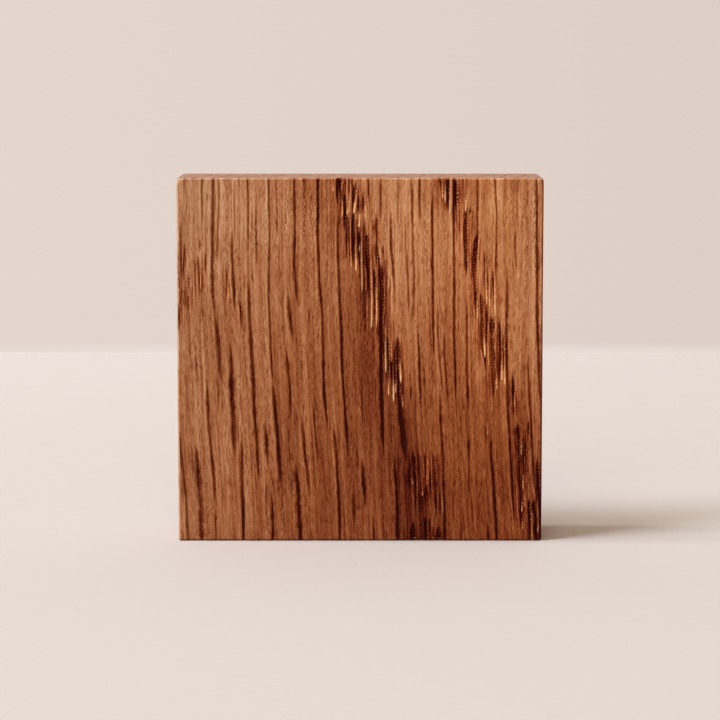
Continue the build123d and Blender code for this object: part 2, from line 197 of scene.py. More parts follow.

# Slivers that the tear has lifted, in the same form: pale, with their glint painted in
# as extra paleness. They are palest and most pointed at the foot
paleSliversWithGlint = drawnLines([
    (0.45, 0.6, 42.8, 98.5, 42.5, 96), (0.55, 1, 49.2, 95, 48.8, 93, 48.1, 90.2),
    (0.35, 0.7, 48.8, 101, 48.3, 97), (0.4, 0.6, 47.4, 96, 46.8, 90.2), (0.4, 0.7, 46.7, 93, 46.5, 89.8),
    (0.6, 1, 50.1, 91, 49.6, 86.2), (0.4, 0.75, 51.4, 96, 51.6, 88.5), (0.3, 0.5, 51.9, 90, 51.9, 85.5),
    (0.35, 0.7, 45.2, 95, 45.2, 89), (0.45, 0.75, 54.4, 93.5, 54.3, 90.3),
    (0.35, 0.6, 54.4, 97.5, 54.4, 94.3), (0.35, 0.7, 47.5, 81, 47.6, 75), (0.45, 0.95, 48.9, 82, 48.9, 74),
    (0.4, 0.55, 50.4, 85, 50.4, 76, 50.6, 68.5), (0.3, 0.5, 49.9, 81.6, 49.9, 80),
    (0.35, 0.85, 53.1, 78, 53.2, 66, 53.1, 58.5), (0.35, 0.75, 54.5, 74.5, 54.6, 66, 54.5, 59),
    (0.4, 0.6, 55, 82.5, 55.6, 78), (0.35, 0.8, 56.9, 60, 57, 46), (0.5, 0.25, 58.6, 61, 58.6, 49.6),
    (0.35, 0.9, 57.8, 45, 57.8, 40.2), (0.4, 0.95, 59.1, 45, 59.2, 38.6), (0.35, 0.6, 59.7, 44, 59.8, 41),
    (0.5, 0.8, 61, 51, 61.2, 43.8), (0.3, 0.4, 61.4, 41, 61.9, 37), (0.35, 0.65, 72.5, 99, 72.5, 94),
    (0.4, 0.65, 73.2, 99, 73.1, 93), (0.35, 0.85, 74.4, 95, 74.4, 90),
    (0.4, 0.85, 79.3, 96, 79, 93, 78.4, 90.5), (0.35, 0.5, 78.7, 96, 78.5, 93),
    (0.4, 0.8, 84.3, 78, 84.4, 70, 84.6, 65), (0.35, 0.75, 85.3, 76.5, 85.4, 64),
    (0.35, 0.9, 86.7, 73, 86.9, 62), (0.35, 0.6, 88.9, 67, 89, 62.8), (0.35, 0.6, 82.1, 69, 82.1, 61),
    (0.4, 0.95, 83.9, 58, 84.2, 50.8), (0.35, 0.6, 85.1, 55, 85.2, 48.4), (0.4, 0.4, 86.9, 57, 87, 52),
    (0.35, 0.7, 87.4, 47, 87.5, 41.6), (0.35, 0.95, 88.8, 50.5, 88.8, 44), (0.35, 0.9, 89.6, 49, 89.6, 43),
    (0.4, 0.15, 68.4, 22, 68.5, 15), (0.3, 0.25, 71.5, 16, 71.4, 11), (0.35, 0.3, 72.5, 15.5, 72.8, 7),
    (0.4, 0.18, 64.7, 17, 64.7, 5), (0.4, 0.18, 69.9, 13, 70, 3), (0.35, 0.15, 66, 10, 66, 2),
    (0.35, 0.5, 64.4, 17.5, 64.4, 15.5), (0.35, 0.5, 67.2, 14, 67.2, 12.5), (0.4, 0.6, 94.2, 28, 94.3, 24),
    (0.4, 0.4, 94.8, 19, 94.9, 14), (0.4, 0.4, 95.3, 15, 95.3, 9), (0.35, 0.6, 94.6, 11, 94.6, 8),
    (0.8, 0.2, 96.5, 30, 96.9, 18), (0.45, 0.4, 97, 18.5, 97.8, 14, 98.2, 11.5),
    (0.35, 0.3, 96.4, 17, 96.4, 11.5), (0.3, 0.4, 94.8, 7, 94.9, 3), (0.35, 0.45, 97.4, 9, 97.4, -3),
    (0.3, 0.45, 99, 6, 99, 2), (0.35, 0.3, 85, 35, 85, 29), (0.35, 0.4, 92.4, 41, 92.4, 36.5),
    (0.35, 0.5, 14.2, 75, 14.1, 66), (0.3, 0.45, 8.4, 79, 8.4, 72), (0.3, 0.4, 3.7, 70, 3.7, 62),
    (0.3, 0.4, 1.7, 71, 1.8, 60), (0.3, 0.4, 6.5, 78, 6.6, 69),
])

# Rows of short ticks, each climbing to the right, in the same form
tickRows = drawnLines([
    (0.45, 0.5, 17, 99, 17, 90), (0.7, 0.5, 18.5, 101, 18.5, 84), (0.5, 0.45, 21.6, 100, 21.6, 92),
    (0.8, 0.9, 21.8, 91, 21.8, 78), (0.6, 0.4, 22.4, 90, 22.6, 80), (0.8, 0.45, 23.5, 101, 23.5, 93),
    (0.9, 0.6, 24.4, 97, 24.5, 78), (1, 0.6, 27.4, 102, 27.4, 78),
    (1.2, 0.8, 29.9, 102, 29.8, 90, 30.1, 78), (0.7, 0.6, 31.4, 98, 31.3, 85),
    (0.8, 0.6, 33.1, 101, 33.1, 88), (0.9, 0.8, 34.8, 102, 35, 78), (1.2, 0.7, 36.8, 99, 36.9, 80),
    (0.8, 0.8, 38.1, 97, 37.9, 80), (0.8, 0.4, 40.6, 100, 40.6, 90), (0.6, 0.5, 41, 90, 41.1, 66),
    (0.5, 0.5, 42.4, 90, 42.3, 66), (0.5, 0.5, 28, 79, 28, 63), (0.4, 0.4, 28.6, 62, 28.7, 50),
    (0.8, 0.4, 33.8, 76, 33.4, 68), (0.5, 0.4, 34, 68, 34.1, 56), (0.5, 0.4, 34.8, 56, 34.8, 44),
    (0.5, 0.45, 35.7, 75, 35.7, 65), (0.5, 0.4, 36.2, 66, 36, 58), (0.6, 0.5, 38.2, 81, 38.3, 57),
    (0.6, 0.5, 38.7, 60, 38.7, 49), (0.4, 0.4, 23.7, 63, 23.6, 55), (0.4, 0.5, 24.5, 50, 24.5, 45),
    (0.5, 0.9, 16.8, 49, 17, 39), (0.5, 0.8, 20.1, 49, 20.3, 39), (0.5, 0.7, 17.4, 67, 18.6, 53),
    (0.4, 0.5, 18.6, 63, 18.8, 54), (0.5, 0.5, 17.6, 39, 17.6, 32), (0.4, 0.45, 19.3, 39, 19.2, 29),
    (0.4, 0.6, 20.1, 30, 20.4, 15), (0.4, 0.4, 13, 41, 13.2, 23), (0.4, 0.35, 14.3, 28, 14.5, 19),
    (0.5, 0.5, 8.2, 13, 8.4, 2), (0.5, 0.4, 7.4, 21, 7.6, 13), (0.45, 0.9, 34, 26, 34.4, 19),
    (0.45, 0.6, 34.5, 21, 35.1, 14), (0.45, 0.6, 35.4, 15, 35.9, 9), (0.5, 0.8, 30.4, 21, 30.7, 14),
    (0.6, 0.5, 31.6, 21, 31.6, 9), (1.2, 0.6, 28.6, 15, 28.8, -2), (0.9, 0.4, 24.6, 17, 24.6, -2),
    (0.7, 0.6, 72.9, 91, 72.9, 69), (0.7, 0.8, 76.9, 97, 77, 91), (1.4, 0.8, 89.2, 61, 89.2, 49),
    (0.5, 0.8, 90.3, 69, 90.3, 57), (0.7, 0.5, 86.9, 58, 86.9, 50), (0.8, 0.5, 91.4, 101, 91.5, 84),
    (0.6, 0.5, 91.9, 93, 92.2, 76), (0.7, 0.5, 94.2, 101, 94.4, 83), (0.6, 0.5, 95.3, 99, 95.3, 65),
    (0.9, 0.7, 97.5, 99, 97.7, 71), (0.5, 0.4, 89.4, 96, 89.4, 79), (0.6, 0.6, 64.1, 101, 64.2, 84),
    (0.5, 0.5, 65, 84, 64.9, 64), (0.6, 0.5, 67.6, 94, 67.7, 70), (0.5, 0.6, 68.9, 80, 69, 62),
    (0.5, 0.5, 65.2, 66, 65.4, 56), (0.6, 0.6, 66.2, 48, 66.9, 32), (0.6, 0.5, 54.5, 68, 54.5, 58),
    (0.7, 0.4, 57, 90, 57, 84),
])

# Long lines of the narrow sides: across and height of each one's head and foot,
# with the across in hundredths of the side's width
sideLines = {
    "left": [(22, 106, 30, 66), (27, 70, 40, 18), (58, 88, 66, 40), (64, 44, 76, -6), (88, 52, 93, 20)],
    "right": [(16, 96, 20, 58), (19, 62, 30, 10), (46, 106, 50, 60), (50, 64, 61, 22), (78, 40, 84, -6)],
}

# Where the growth rings cross the head of the show face
rings = [4.6, 10.4, 15.2, 19.5, 25.0, 32.1, 38.6, 44.7, 53.0, 58.3, 64.0, 69.7, 75.5, 81.9, 86.6, 92.0, 97.9]

# The grain runs straight at the head and leans to the right below it, early and
# evenly on the left, late and quickly on the right
grainLean = {
    "straightAbove": 76,
    "laterToTheRight": 0.16,
    "run": 4.1,
    "lessToTheRight": 0.015,
    "quickening": 1.1,
}

# How light the wood is: a tone that is lighter towards the head, and soft places that
# are lighter or darker: across, height, reach across, reach along the grain, change
toneOfWood = {"head": 0.717, "foot": 0.547}
toneZones = [
    (36, 98, 9, 13, -0.17), (47, 74, 9, 26, -0.12), (55, 50, 8, 26, -0.22), (30, 30, 14, 34, -0.09),
    (66, 6, 8, 26, -0.3), (90, 8, 16, 34, -0.24), (44, 14, 14, 34, -0.14), (78, 44, 12, 18, -0.08),
    (6, 66, 9, 12, -0.07), (61, 87, 7, 13, 0.08), (94, 62, 5, 18, 0.04), (58, 66, 3.5, 17, 0.19),
    (63, 75, 4, 18, 0.03), (61, 26, 5, 16, -0.08), (22, 18, 4, 12, 0.08), (15, 34, 4, 10, 0.09),
    (38, 28, 5, 16, 0.075), (45, 18, 4, 12, 0.05), (92.5, 50, 3.5, 14, 0.13), (82, 53, 3.5, 9, 0.11),
    (81, 24, 4, 10, 0.08), (9, 77, 7, 5, 0.07), (3, 94, 4, 6, 0.04), (14, 92, 5, 7, 0.07),
    (31, 92, 4, 6, 0.08), (32, 75, 3.5, 8, -0.09), (92.5, 98, 2.5, 3, -0.16), (74, 96, 7, 5, -0.17),
    (87, 95, 2.5, 4, 0.1), (68, 17, 4, 8, 0.09), (91, 6, 4, 6, 0.09), (62, 48, 2.5, 8, 0.06),
    (62.4, 33, 1.6, 8, -0.12), (27, 14, 2.5, 6, -0.08), (50, 62, 3, 8, 0.04), (2, 7, 3, 6, 0.1),
    (77, 80, 3, 6, 0.08), (72, 49, 2.5, 7, 0.06), (12, 72, 3, 5, 0.1), (23, 87, 5, 7, 0.07),
    (32, 12, 3, 8, 0.07), (12.5, 20, 2.2, 8, 0.12), (13, 6, 2.5, 6, 0.07), (87, 68, 3, 5, -0.06),
    (67, 42, 2.5, 8, -0.06), (43, 73, 2, 9, 0.06), (36, 88, 2, 4, 0.07), (87, 90, 4, 4, 0.06),
    (77, 40, 3, 7, 0.04),
]

# Painted highlights and shade on the long edges: which way an edge looks, and how much lighter or darker it
# is painted
edgeHighlightsAndShade = [
    ((-1, -1, 0), 0.3),
    ((1, -1, 0), -0.3),
    ((0, -1, 1), 0.22),
    ((0, -1, -1), -0.3),
    ((0, 1, 1), -0.25),
]

# The values that the materials read from the mesh: those that rise from nothing
# where there is a mark, and those that start far outside one
marks = ("dark", "furrow", "torn", "pale", "rough", "paintedRim", "ticks")
outside = {"groove": 3.0, "slot": -1.0, "sliver": -1.0}
noiseCells = (101, 103)  # the soft noise repeats after this many


def smoothStep(value):
    value = np.clip(value, 0, 1)
    return value * value * (3 - 2 * value)


def softNoise(across, along, seed):
    # a smooth field between -1 and 1, with one cell to a unit
    table = np.random.default_rng(seed).uniform(-1, 1, noiseCells)
    column = np.floor(across).astype(int)
    row = np.floor(along).astype(int)
    shareAcross = smoothStep(across - column)
    shareAlong = smoothStep(along - row)

    def between(level):
        level = level % noiseCells[0]
        near = table[level, column % noiseCells[1]]
        far = table[level, (column + 1) % noiseCells[1]]
        return near * (1 - shareAcross) + far * shareAcross

    return between(row) * (1 - shareAlong) + between(row + 1) * shareAlong


def waver(height, cells, row, seed):
    # soft noise along one line, with so many cells to a millimetre
    return softNoise(height * cells, height * 0 + row, seed)


def grainDrift(across, height):
    start = grainLean["straightAbove"] - grainLean["laterToTheRight"] * across
    power = 1 + grainLean["quickening"] * (across / blockWidth) ** 2
    below = np.clip((start - height) / start, 0, 1)
    return (grainLean["run"] - grainLean["lessToTheRight"] * across) * below ** power


def grainAcross(across, depth, height):
    # where a point lies across the rings, whatever the depth and height
    level = across - block["ringSlant"] * depth / blockThickness
    return level - grainDrift(np.clip(level, 0, blockWidth), height)


def followGrain(start, ring, heights):
    # points of a line that leans as the grain does at one ring
    return [(start + float(grainDrift(np.array(ring), np.array(each))), each) for each in heights]


def lineMiddle(height, points):
    # a line bends gently through its points
    heights = [-point[1] for point in points]
    levels = [point[0] for point in points]
    shifts = (-3.0, -1.5, 0.0, 1.5, 3.0)
    return sum(np.interp(-height + shift, heights, levels) for shift in shifts) / len(shifts)


def lineShape(across, height, line, seed, runOut):
    # where each point is on a line: how many half widths from its middle, and
    # how much of the line there is at that height, from 0 to 1
    width, _, points = line
    head, foot = points[0][1], points[-1][1]
    middle = lineMiddle(height, points) + 0.1 * waver(height, 0.21, seed, seed)
    runOut = min(runOut, 0.45 * (head - foot))
    present = smoothStep((head - height) / runOut) * smoothStep((height - foot) / runOut)
    uneven = 1 + 0.3 * waver(height, 0.45, 3.3, seed + 1)
    broad = 0.25 + 0.75 * width  # even a hairline has some breadth
    broad = broad * (0.35 + 0.65 * present) * uneven
    return (across - middle) / (broad / 2), present


def slotShape(across, height, line, seed):
    # how far inside a slot each point lies, in millimetres, and how far to the
    # right of its middle
    width, _, points = line
    head, foot = points[0][1], points[-1][1]
    middle = lineMiddle(height, points) + 0.08 * waver(height, 0.3, seed, seed)
    atHead, atFoot = block["slotRunOut"]
    blunt = np.clip((head - height) / min(atHead, 0.3 * (head - foot)), 0, 1) ** 0.5
    pointed = np.clip((height - foot) / min(atFoot, 0.6 * (head - foot)), 0, 1) ** 0.6
    uneven = 1 + 0.2 * waver(height, 0.5, 3.3, seed + 1)
    away = across - middle
    return width / 2 * blunt * pointed * uneven - np.abs(away), away


def sliverShape(across, height, line, seed):
    # how far inside a sliver each point lies, 1 at its middle and 0 at its side,
    # and how pale it is: it fades in from the head and ends in a tip at the foot
    width, lightness, points = line
    head, foot = points[0][1], points[-1][1]
    middle = lineMiddle(height, points) + 0.06 * waver(height, 0.4, seed, seed)
    risen = np.clip((head - height) / (head - foot), 0, 1) ** 0.8
    tip = np.clip((height - foot) / min(block["sliverTip"], 0.5 * (head - foot)), 0, 1)
    half = (0.13 + width / 2) * (0.5 + 0.5 * risen) * tip ** 0.5 + 0.001
    inside = np.clip(1 - np.abs(across - middle) / half, -1, 1)
    return inside, lightness * (0.3 + 0.7 * risen)


def pointsNear(across, height, points, reach):
    # the numbers of the points that a line can touch
    low = min(point[0] for point in points) - reach
    high = max(point[0] for point in points) + reach
    inside = (across > low) & (across < high) & (height < points[0][1]) & (height > points[-1][1])
    return np.nonzero(inside)[0]


def blankFields(count):
    fields = {name: np.zeros(count) for name in marks + ("depth", "side")}
    return fields | {name: np.full(count, value) for name, value in outside.items()}


def carve(across, height, lines, seed):
    # everything that follows the grain on one long face
    fields = blankFields(len(across))

    def raiseTo(name, near, values):
        higher = values > fields[name][near]
        fields[name][near[higher]] = values[higher]
        return higher

    for number, line in enumerate(lines["furrows"] + lines["fine"]):
        width, darkness, points = line
        near = pointsNear(across, height, points, 2.0 + 2 * width)
        offset, present = lineShape(across[near], height[near], line, seed + number, block["furrowRunOut"])
        section = sum(share * np.exp(-steep * offset ** 2) for share, steep in block["furrowSection"])
        profile = present * section
        strength = darkness * (0.85 + 0.25 * waver(height[near], 0.12, number, seed + 3))
        raiseTo("depth", near, block["furrowDepth"] * width ** 0.7 * profile)
        higher = raiseTo("furrow", near, strength * profile)
        if number < len(lines["furrows"]):
            fields["groove"][near[higher]] = np.minimum(np.abs(offset[higher]), outside["groove"])
            fields["dark"][near[higher]] = (strength * present)[higher]
            # a painted highlight along the left edge of each drawn furrow
            rimPlace, rimReach = block["paintedRim"]
            raiseTo("paintedRim", near, present * darkness * np.exp(-((offset + rimPlace) / rimReach) ** 2))
    for number, line in enumerate(lines["pits"]):
        width, darkness, points = line
        near = pointsNear(across, height, points, 3.0 + width)
        inside, away = slotShape(across[near], height[near], line, seed + 500 + number)
        deepest = raiseTo("slot", near, inside)
        fields["side"][near[deepest]] = np.clip(away[deepest] / 0.4, -1, 1)
        fields["torn"][near[deepest]] = darkness
        raiseTo("depth", near, block["pitDepth"] * width ** 0.7 * smoothStep((inside + 0.1) / 0.35))
        head, foot = points[0][1], points[-1][1]
        along = smoothStep((head - height[near]) / 3) * smoothStep((height[near] - foot) / 3)
        reach = block["roughReach"] + block["roughReach"] * width
        raiseTo("rough", near, darkness * along * np.exp(-(away / reach) ** 2))
    for number, line in enumerate(lines["slivers"]):
        near = pointsNear(across, height, line[2], 2.0)
        inside, pale = sliverShape(across[near], height[near], line, seed + 900 + number)
        nearest = raiseTo("sliver", near, inside)
        fields["pale"][near[nearest]] = pale[nearest]
        fields["depth"][near] -= block["sliverRise"] * pale * smoothStep(inside)
    for number, line in enumerate(lines["ticks"]):
        width, strength, points = line
        near = pointsNear(across, height, points, 2.0 + width)
        lineSeed = seed + 1300 + number
        offset, present = lineShape(across[near], height[near], line, lineSeed, block["tickRunOut"])
        raiseTo("ticks", near, strength * present * np.exp(-0.8 * offset ** 2))
    fields["depth"] = np.clip(fields["depth"], 0, None)
    return fields


# Shallow short furrows all over a face, between the ones that are drawn: least
# and most of each value
fineFurrow = {"width": (0.22, 0.42), "darkness": (0.2, 0.6), "head": (6, 108), "length": (6, 28)}


def fineFurrows(count, width, seed):
    rng = np.random.default_rng(seed)
    lines = []
    for _ in range(count):
        across = rng.uniform(0.5, width - 0.5)
        head = rng.uniform(*fineFurrow["head"])
        foot = head - rng.uniform(*fineFurrow["length"])
        points = followGrain(across, across, (head, (head + foot) / 2, foot))
        lines.append((rng.uniform(*fineFurrow["width"]), rng.uniform(*fineFurrow["darkness"]), points))
    return lines


# The furrows of the back: each ring in broken runs of its own
backFurrow = {
    "width": 0.85,
    "darkness": 0.7,
    "head": 106,  # where the first run starts, or lower by a share of the stagger
    "stagger": 31,
    "length": 30,
    "overlap": 4,
    "gap": 9,  # none, one or two of these between the runs of a ring
    "lowest": 12,
}


def backFurrows(seed):
    rng = np.random.default_rng(seed)
    lines = []
    for number, ring in enumerate(rings):
        head = backFurrow["head"] - backFurrow["stagger"] * (number * 0.62 % 1)
        while head > backFurrow["lowest"]:
            foot = head - backFurrow["length"]
            points = followGrain(ring + block["ringSlant"], ring, (head, (head + foot) / 2, foot))
            width = backFurrow["width"] * rng.uniform(0.75, 1.1)
            lines.append((width, backFurrow["darkness"] * rng.uniform(0.8, 1.1), points))
            head = foot + backFurrow["overlap"] - backFurrow["gap"] * (number % 3)
    return lines


def sideRuns(side):
    share = blockThickness / 100
    look = block["sideLine"]
    lines = [(*look, head * share, high, foot * share, low) for head, high, foot, low in sideLines[side]]
    return drawnLines(lines)


def longFaces(across, depth):
    # the four faces along the grain: which way each looks, where points lie
    # across it, what is carved into it, and its seed
    blank = {"pits": [], "slivers": [], "ticks": []}
    front = {
        "furrows": furrowLines,
        "fine": fineFurrows(block["faceFineLines"], blockWidth, 3),
        "pits": tornPits,
        "slivers": paleSliversWithGlint,
        "ticks": tickRows,
    }
    back = {"furrows": backFurrows(5), "fine": fineFurrows(block["backFineLines"], blockWidth, 4)}
    left = {"furrows": sideRuns("left"), "fine": fineFurrows(block["sideFineLines"], blockThickness, 5)}
    right = {"furrows": sideRuns("right"), "fine": fineFurrows(block["sideFineLines"], blockThickness, 6)}
    return [
        (np.array([0, -1, 0]), across, front, 11),
        (np.array([0, 1, 0]), across, blank | back, 2011),
        (np.array([-1, 0, 0]), depth, blank | left, 4011),
        (np.array([1, 0, 0]), depth, blank | right, 6011),
    ]


def gridCells(length, inner, edgeCells):
    # cell edges along one side of a face, finer on the rounded edges
    radius = block["edgeRadius"]
    half = edgeCells // 2
    first = np.linspace(0, radius, half + 1)[:-1]
    middle = np.linspace(radius, length - radius, inner + 1)
    last = np.linspace(length - radius, length, half + 1)[1:]
    return np.concatenate([first, middle, last])


def alongGrain(columns, rows, depth):
    # grid columns lean with the grain, so that a furrow stays on its columns
    across, height = np.meshgrid(columns, rows)
    level = across - block["ringSlant"] * depth / blockThickness
    free = smoothStep(across / 8) * smoothStep((blockWidth - across) / 8)
    return across + grainDrift(np.clip(level, 0, blockWidth), height) * free, height


def gridFaces(index, flip=False):
    corners = [index[:-1, :-1], index[:-1, 1:], index[1:, 1:], index[1:, :-1]]
    quads = np.stack(corners, axis=-1).reshape(-1, 4)
    return (quads[:, ::-1] if flip else quads).tolist()


def blockGrid():
    # the six faces of the sharp-edged block as grids that share their edges
    frontColumns = gridCells(blockWidth, block["frontColumns"], block["edgeColumns"])
    backColumns = gridCells(blockWidth, block["frontColumns"] // 2, block["edgeColumns"] // 2)
    rows = gridCells(blockHeight, block["rows"], 2 * block["edgeRows"])
    depths = gridCells(blockThickness, block["sideColumns"], 2 * block["edgeRows"])
    frontX, frontZ = alongGrain(frontColumns, rows, 0)
    backX, backZ = alongGrain(backColumns, rows, blockThickness)
    points, faces = [], []
    count = 0

    def addPoints(x, y, z):
        nonlocal count
        x, y, z = np.broadcast_arrays(x, y, z)
        points.append(np.stack([x, y, z], axis=-1).reshape(-1, 3))
        index = np.arange(count, count + x.size).reshape(x.shape)
        count += x.size
        return index

    front = addPoints(frontX, 0.0, frontZ)
    faces += gridFaces(front)
    faces += gridFaces(addPoints(backX, blockThickness, backZ), flip=True)
    sideY, sideZ = np.meshgrid(depths, rows)
    faces += gridFaces(addPoints(0.0, sideY, sideZ), flip=True)
    faces += gridFaces(addPoints(blockWidth, sideY, sideZ))
    share = (depths / blockThickness)[:, None]
    for row, height, flip in ((-1, blockHeight, False), (0, 0.0, True)):
        endX = frontX[row, ::2] * (1 - share) + backX[row] * share
        end = addPoints(endX, depths[:, None], height)
        faces += gridFaces(end[1:], flip)
        # the first row of an end meets twice as many columns of the show face
        for cell in range(end.shape[1] - 1):
            corner = [end[0, cell], front[row, 2 * cell + 1], *end[:2, cell + 1], end[1, cell]]
            faces.append([int(each) for each in (corner[::-1] if flip else corner)])
    return np.concatenate(points), faces


def weld(points, faces):
    # grids that meet share their points from here on
    _, first, inverse = np.unique(np.round(points, 4), axis=0, return_index=True, return_inverse=True)
    inverse = inverse.reshape(-1)
    return points[first], [[int(inverse[each]) for each in face] for face in faces]


def roundEdges(points):
    size = np.array([blockWidth, blockThickness, blockHeight])
    fromSide = np.minimum(points[:, 0], blockWidth - points[:, 0])
    fromHead = blockHeight - points[:, 2]
    corner = np.exp(-(np.hypot(fromSide, fromHead) / block["cornerReach"]) ** 2)
    radius = (block["edgeRadius"] + block["cornerWear"] * corner)[:, None]
    inner = np.clip(points, radius, size - radius)
    out = points - inner
    normal = out / np.linalg.norm(out, axis=1)[:, None]
    return inner + radius * normal, normal


def woodTone(across, height):
    tone = toneOfWood["foot"] + (toneOfWood["head"] - toneOfWood["foot"]) * height / blockHeight
    for x, z, reachAcross, reachAlong, change in toneZones:
        away = ((across - x) / reachAcross) ** 2 + ((height - z) / reachAlong) ** 2
        tone = tone + change * np.exp(-away)
    return tone


def endMarks(across, depth, height):
    # worn rings on the sawn ends
    level = grainAcross(across, depth, height)
    mark = np.zeros(len(across))
    bow = block["ringBow"] * 4 * (depth / blockThickness) * (1 - depth / blockThickness)
    for ring in rings:
        mark = np.maximum(mark, np.exp(-((level - bow - ring) / block["ringMarkWidth"]) ** 2))
    return mark


def faceSurface(place, normal, level):
    # how deep each point sinks, and the values that the materials read there
    across, depth, height = place.T
    masks = blankFields(len(place))
    sink = masks.pop("depth")
    for axis, coordinate, lines, seed in longFaces(across, depth):
        weight = np.clip(normal @ axis, 0, 1)
        chosen = weight > 0.01
        weight = weight[chosen]
        fields = carve(coordinate[chosen], height[chosen], lines, seed)
        span = (level if coordinate is across else coordinate)[chosen]
        wave = softNoise(span * 0.9, height[chosen] * 0.05, seed + 1)
        wave = wave + 0.6 * softNoise(span * 2.1, height[chosen] * 0.13, seed + 2)
        fields["depth"] += block["waviness"] * (0.5 + 0.31 * wave)
        sink[chosen] += fields["depth"] * weight ** 1.2
        masks["side"][chosen] += fields["side"]
        masks["groove"][chosen] = np.minimum(masks["groove"][chosen], fields["groove"])
        for name in ("slot", "sliver"):
            masks[name][chosen] = np.maximum(masks[name][chosen], fields[name])
        for name in marks:
            masks[name][chosen] = np.maximum(masks[name][chosen], fields[name] * weight ** 0.7)
    endWeight = np.clip(np.abs(normal[:, 2]), 0, 1) ** 2
    ringMarks = endMarks(across, depth, height)
    ends = block["endRoughness"] * (1 + softNoise(level * 1.4, depth * 0.8, 77))
    sink += (block["ringMarkDepth"] * ringMarks + ends) * endWeight
    masks["furrow"] = np.maximum(masks["furrow"], 0.5 * ringMarks * endWeight)
    masks["tone"] = woodTone(across, height)
    # the left and top front edges get a painted highlight, the right, bottom and top back edges painted
    # shade
    for direction, change in edgeHighlightsAndShade:
        turned = normal @ (np.array(direction) / np.linalg.norm(direction))
        masks["tone"] += change * smoothStep((turned - 0.8) / 0.15)
    return sink, masks


def placeObject(name, data):
    thing = bpy.data.objects.new(name, data)
    bpy.context.collection.objects.link(thing)
    return thing


def makePiece(name, place, faces, masks, grain, materials):
    # an object from places in millimetres and the values that its materials read
    mesh = bpy.data.meshes.new(name)
    mesh.from_pydata(((place + blockLow) * millimetre).tolist(), [], faces)
    for label, values in masks.items():
        attribute = mesh.attributes.new(label, "FLOAT", "POINT")
        attribute.data.foreach_set("value", values.astype(np.float32))
    attribute = mesh.attributes.new("grain", "FLOAT_VECTOR", "POINT")
    attribute.data.foreach_set("vector", grain.astype(np.float32).ravel())
    for material in materials:
        mesh.materials.append(material)
    mesh.update()
    print(name, len(mesh.polygons), "faces")
    return placeObject(name, mesh)


def buildBlock():
    points, faces = weld(*blockGrid())
    place, normal = roundEdges(points)
    level = grainAcross(*place.T)
    sink, masks = faceSurface(place, normal, level)
    grain = np.stack([level, place[:, 1], place[:, 2]], axis=-1)
    place = place - normal * sink[:, None]
    oakBlock = makePiece("oakBlock", place, faces, masks, grain, [longGrainMaterial(), endGrainMaterial()])
    polygons = oakBlock.data.polygons
    facing = np.zeros(len(polygons) * 3, dtype=np.float32)
    polygons.foreach_get("normal", facing)
    isEnd = np.abs(facing.reshape(-1, 3)[:, 2]) > block["endSlope"]
    polygons.foreach_set("material_index", isEnd.astype(np.int32))
    polygons.foreach_set("use_smooth", np.ones(len(polygons), dtype=bool))
    oakBlock.data.update()
    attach(oakBlock, "root")
    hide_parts("wood_block")


tornFibres = {
    "thickness": 0.22,
    "leastWidth": 0.3,
    "share": 1.25,  # their width against the pale mark below them
    "margin": 1.0,  # they keep this far from the block's outline
    # along a fibre: share of its length, share of its width, how far it is sunk
    "stations": [(0.0, 0.3, 0.9), (0.25, 0.7, 0.5), (0.6, 1.0, 0.1), (0.85, 0.8, 0.0), (1.0, 0.06, 0.25)],
}


def hangsFree(line):
    # a fibre that crosses the outline of the show face would stick out
    margin = tornFibres["margin"]
    head, foot = line[2][0], line[2][-1]
    return foot[1] > margin and head[1] < blockHeight - margin and margin < foot[0] < blockWidth - margin


def buildFibres():
    # each fibre is a closed sliver, rooted at its head and pointed at its foot
    points, faces, glintAndPaleness = [], [], []
    for width, strength, run in filter(hangsFree, paleSliversWithGlint):
        head, foot = run[0][1], run[-1][1]
        first = len(points)
        for share, breadth, sunk in tornFibres["stations"]:
            height = head + (foot - head) * share
            middle = float(lineMiddle(np.array([height]), run)[0])
            half = max(tornFibres["share"] * width, tornFibres["leastWidth"]) * breadth / 2
            front = sunk * tornFibres["thickness"]
            thick = tornFibres["thickness"] * (0.4 + 0.6 * breadth)
            points += [
                (middle - half, front + thick / 5, height),
                (middle, front, height),
                (middle + half, front + thick / 5, height),
                (middle, front + thick, height),
            ]
            glintAndPaleness += [strength * (0.45 + 0.55 * share)] * 4
        last = len(points) - 4
        for ring in range(first, last, 4):
            for corner in range(4):
                following = (corner + 1) % 4
                faces.append((ring + corner, ring + following, ring + 4 + following, ring + 4 + corner))
        faces.append((first + 3, first + 2, first + 1, first))
        faces.append((last, last + 1, last + 2, last + 3))
    place = np.array(points)
    masks = {"pale": np.array(glintAndPaleness), "tone": woodTone(place[:, 0], place[:, 2])}
    fibres = makePiece("tornFibres", place, faces, masks, place, [splinterMaterial()])
    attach(fibres, "root")


def colour(red, green, blue):
    # a colour given in screen values, as the shader wants it
    parts = [each / 255 for each in (red, green, blue)]
    return [each / 12.92 if each <= 0.04045 else ((each + 0.055) / 1.055) ** 2.4 for each in parts] + [1.0]


